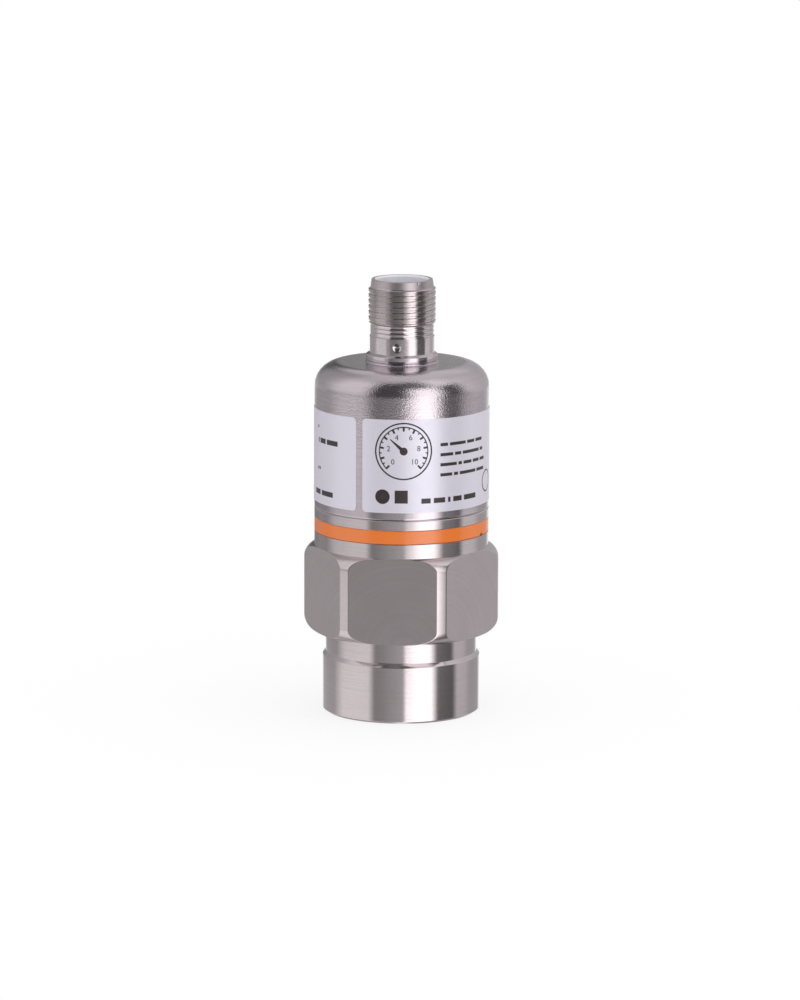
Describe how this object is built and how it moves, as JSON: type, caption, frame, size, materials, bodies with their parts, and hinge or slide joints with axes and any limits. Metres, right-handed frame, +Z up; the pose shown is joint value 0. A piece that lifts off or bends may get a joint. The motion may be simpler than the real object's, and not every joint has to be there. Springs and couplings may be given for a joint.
{
  "type": "pressure transmitter",
  "caption": "Compact pressure transmitter: hexagonal process connection with a threaded port, domed round housing with a wrapped label, and a round plug connector on top.",
  "frame": {"origin": "centre of the flat bottom face of the process connection", "axes": "+Z up the axis to the plug connector, -Y square to one flat of the hexagon, +X to the right seen from -Y"},
  "size_m": [0.0346, 0.0312, 0.0775],
  "materials": {
    "body_steel": "turned and milled, bright",
    "can_steel": "drawn and blasted, satin",
    "connector_steel": "turned, bright",
    "ring_plastic": "moulded, semi-gloss",
    "label_film": "printed film, satin",
    "filter_membrane": "porous",
    "seal_rubber": "moulded rubber",
    "ceramic_white": "ground ceramic",
    "joint_glass": "fused glass",
    "support_plastic": "natural engineering plastic",
    "inner_steel": "turned",
    "carrier_plastic": "moulded",
    "board_laminate": "coated glass-fibre laminate",
    "chip_plastic": "moulded",
    "chip_ceramic": "fired chip body",
    "can_metal": "pressed cap",
    "solder_tin": "solder",
    "contact_gold": "gold plated",
    "spring_bronze": "spring bronze",
    "ribbon_film": "amber film",
    "insert_plastic": "moulded"
  },
  "bodies": {
    "root": {"process_connection": "body_steel", "vent_filter": "filter_membrane", "colour_ring": "ring_plastic", "cell_seal": "seal_rubber", "cell_rest_ring": "support_plastic", "cell_diaphragm": "ceramic_white", "cell_joint_ring": "joint_glass", "cell_base": "ceramic_white", "cell_contact_pins": "contact_gold", "thrust_ring": "support_plastic", "clamp_ring": "inner_steel", "cell_board": "board_laminate", "cell_pin_solder": "solder_tin", "sensor_chip": "chip_plastic", "cell_capacitors": "chip_ceramic", "board_carrier": "carrier_plastic", "main_board": "board_laminate", "processor_chip": "chip_plastic", "crystal": "can_metal", "converter_chip": "chip_plastic", "filter_coils": "chip_plastic", "voltage_regulator": "chip_plastic", "surge_diodes": "chip_plastic", "output_transistors": "chip_plastic", "board_capacitors": "chip_ceramic", "board_resistors": "chip_ceramic", "lower_ribbon": "ribbon_film", "upper_ribbon": "ribbon_film", "earth_spring": "spring_bronze", "housing_can": "can_steel", "housing_seal": "seal_rubber", "type_label": "label_film", "connector_shell": "connector_steel", "shell_gasket": "seal_rubber", "shell_nut": "inner_steel", "connector_insert": "insert_plastic", "insert_seal": "seal_rubber", "contact_pins": "contact_gold", "contact_solder": "solder_tin", "connector_board": "board_laminate"}
  },
  "joints": []
}
